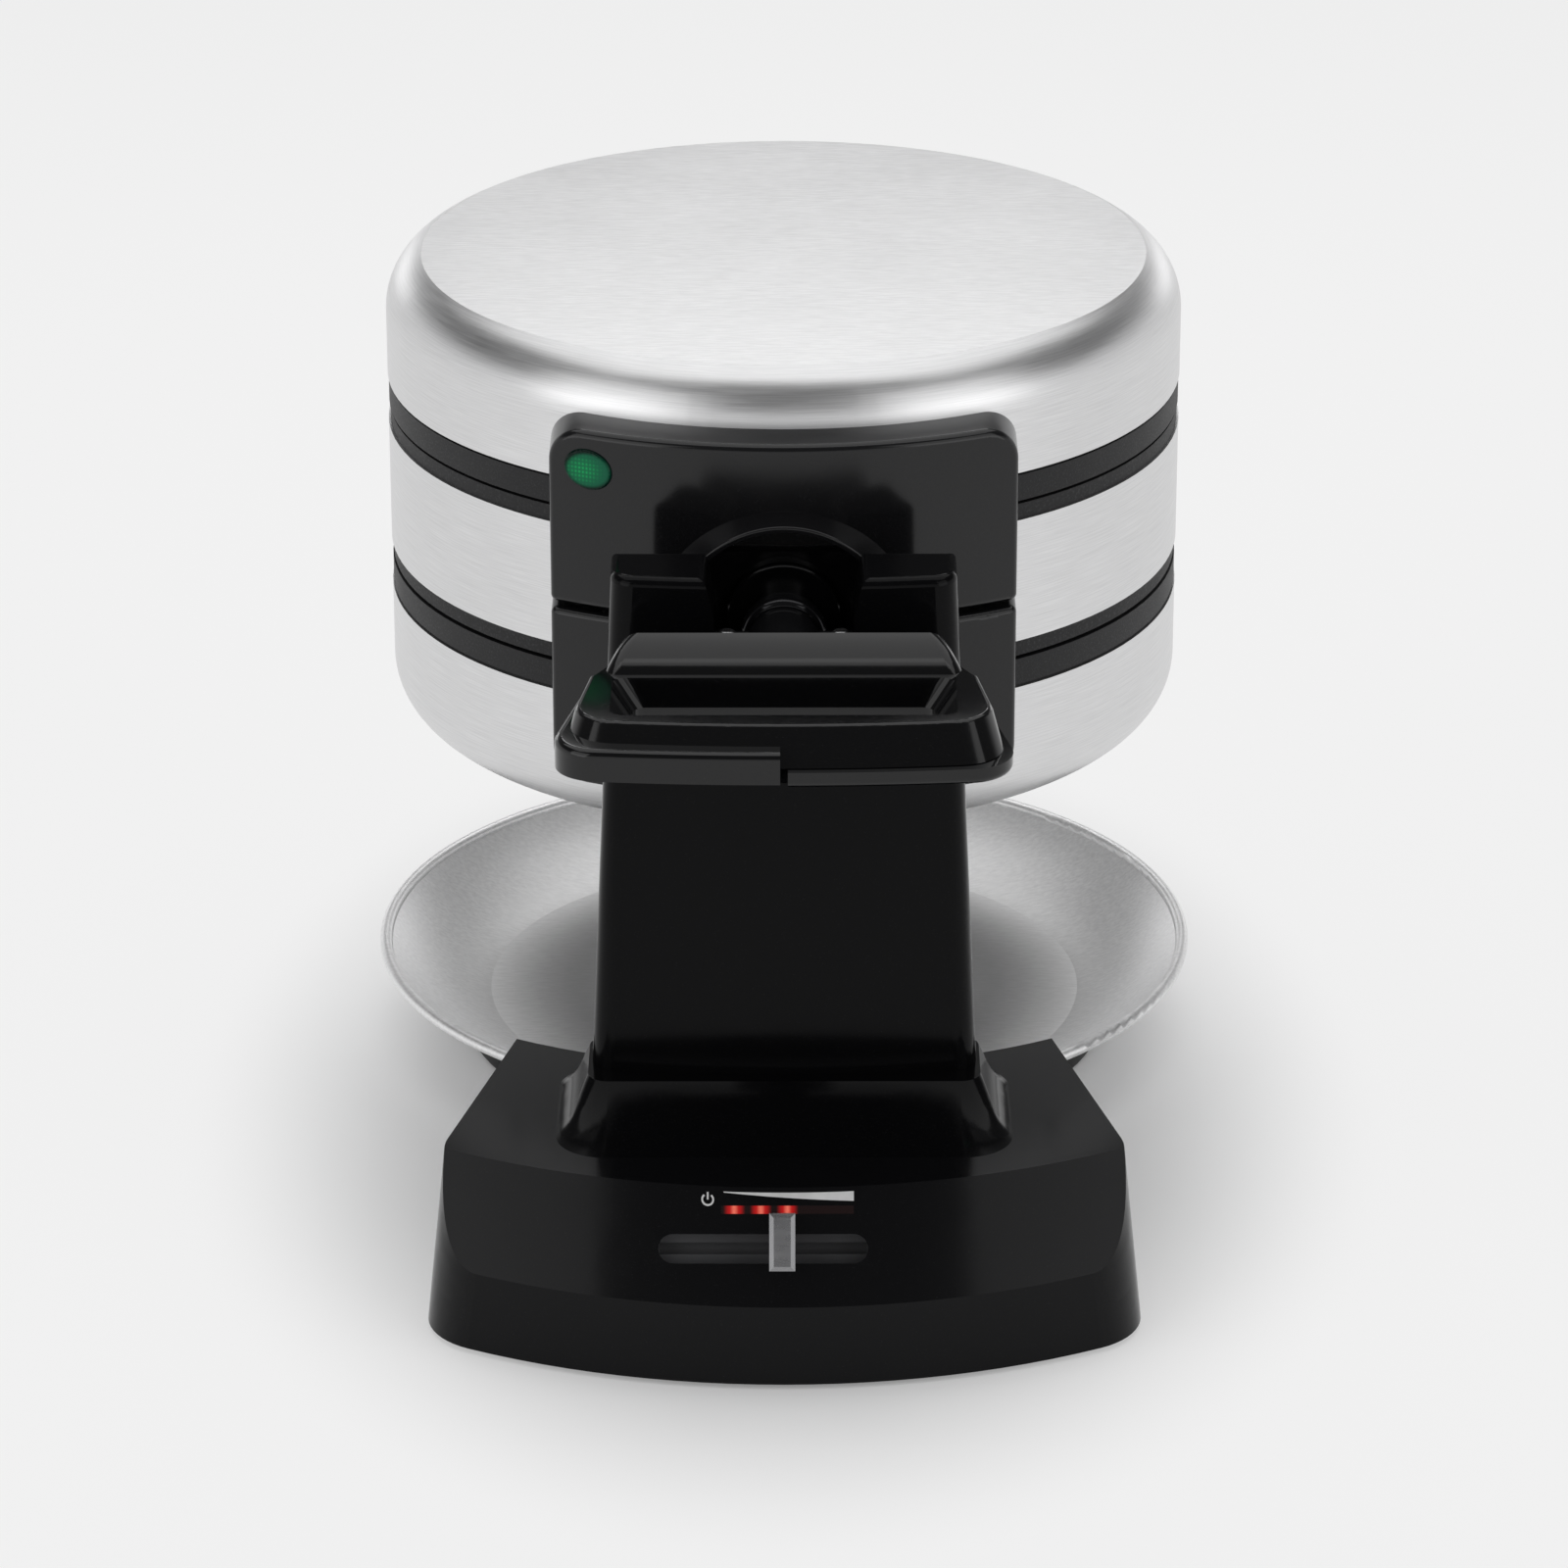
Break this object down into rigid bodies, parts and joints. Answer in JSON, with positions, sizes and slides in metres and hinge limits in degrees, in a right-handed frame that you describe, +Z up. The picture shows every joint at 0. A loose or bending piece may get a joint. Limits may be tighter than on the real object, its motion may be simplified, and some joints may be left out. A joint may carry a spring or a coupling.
{
  "type": "belgian waffle maker",
  "caption": "Double-sided rotating waffle maker: a steel drum of hinged lids and grid plates turns by its handle in a bearing on a column above a drip tray.",
  "frame": {"origin": "on the table, under the middle of the overall box", "axes": "+Z up, -Y towards the user on the handle side, +X to the user's right"},
  "size_m": [0.2472, 0.381, 0.2488],
  "materials": {
    "brushed_steel": "fine brushing across, satin",
    "tray_steel": "spun satin",
    "ring_black": "fine matte",
    "middle_ring_black": "grained matte",
    "nonstick_grid": "cast, dark non-stick coating",
    "element_steel": "dull, heat stained",
    "shield_aluminium": "bright rolled sheet",
    "gloss_black": "high gloss",
    "base_black": "satin",
    "hinge_metal": "satin black",
    "hub_metal": "gloss black",
    "shaft_chrome": "polished",
    "small_steel": "bright",
    "bush_bronze": "machined",
    "foot_rubber": "matte",
    "lens_green": "clear tinted",
    "strip_smoked": "clear tinted",
    "led_red": "clear tinted",
    "slider_grey": "satin",
    "board_green": "laminate",
    "control_grey": "moulded",
    "terminal_white": "moulded"
  },
  "bodies": {
    "base": {"base_housing": "gloss_black", "base_bottom_plate": "base_black", "base_screws": "small_steel", "rubber_feet": "foot_rubber", "column_shell": "gloss_black", "column_back_cover": "gloss_black", "bearing_block": "hub_metal", "bearing_cap": "hub_metal", "bearing_bush": "bush_bronze", "bearing_screws": "small_steel", "stop_ring": "hub_metal", "control_board": "board_green", "slide_potentiometer": "control_grey", "indicator_strip": "strip_smoked", "indicator_leds": "led_red", "cord_inlet": "base_black", "terminal_block": "terminal_white"},
    "rotor": {"middle_band": "brushed_steel", "middle_ring_upper": "middle_ring_black", "middle_ring_lower": "middle_ring_black", "middle_grid_upper": "nonstick_grid", "middle_grid_lower": "nonstick_grid", "middle_heater_upper": "element_steel", "middle_heater_lower": "element_steel", "middle_screws": "small_steel", "thermostat": "shield_aluminium", "hub_flange": "hub_metal", "pivot_shaft": "shaft_chrome", "shaft_nut": "small_steel", "retaining_clip": "small_steel", "stop_pin": "small_steel", "catch_strikes": "small_steel", "hinge_bracket": "hinge_metal", "hinge_pins": "small_steel", "handle_upper": "gloss_black", "handle_lower": "gloss_black", "handle_screws": "small_steel"},
    "top_lid": {"lid_cap_upper": "brushed_steel", "lid_ring_upper": "ring_black", "lid_grid_upper": "nonstick_grid", "lid_heater_upper": "element_steel", "heat_shield_upper": "shield_aluminium", "front_plate_upper": "gloss_black", "indicator_lens_upper": "lens_green", "hinge_arm_upper": "hinge_metal", "catch_springs_upper": "small_steel", "lid_screws_upper": "small_steel"},
    "bottom_lid": {"lid_cap_lower": "brushed_steel", "lid_ring_lower": "ring_black", "lid_grid_lower": "nonstick_grid", "lid_heater_lower": "element_steel", "heat_shield_lower": "shield_aluminium", "front_plate_lower": "gloss_black", "indicator_lens_lower": "lens_green", "hinge_arm_lower": "hinge_metal", "catch_springs_lower": "small_steel", "lid_screws_lower": "small_steel"},
    "tray": {"drip_tray": "tray_steel"},
    "slider": {"slider_knob": "slider_grey"}
  },
  "joints": [
    {"name": "rotor_turn", "type": "hinge", "parent": "base", "child": "rotor", "pos_m": [0, 0, 0.181], "axis": [0, -1, 0], "range_deg": [-180, 0]},
    {"name": "top_lid_hinge", "type": "hinge", "parent": "rotor", "child": "top_lid", "pos_m": [0, 0.18396, 0.204], "axis": [-1, 0, 0], "range_deg": [0, 100]},
    {"name": "bottom_lid_hinge", "type": "hinge", "parent": "rotor", "child": "bottom_lid", "pos_m": [0, 0.18396, 0.158], "axis": [1, 0, 0], "range_deg": [0, 15]},
    {"name": "tray_slide", "type": "slide", "parent": "base", "child": "tray", "axis": [0, 1, 0], "range_m": [0, 0.26]},
    {"name": "heat_slider", "type": "slide", "parent": "base", "child": "slider", "axis": [1, 0, 0], "range_m": [-0.0306, 0.0202]}
  ]
}
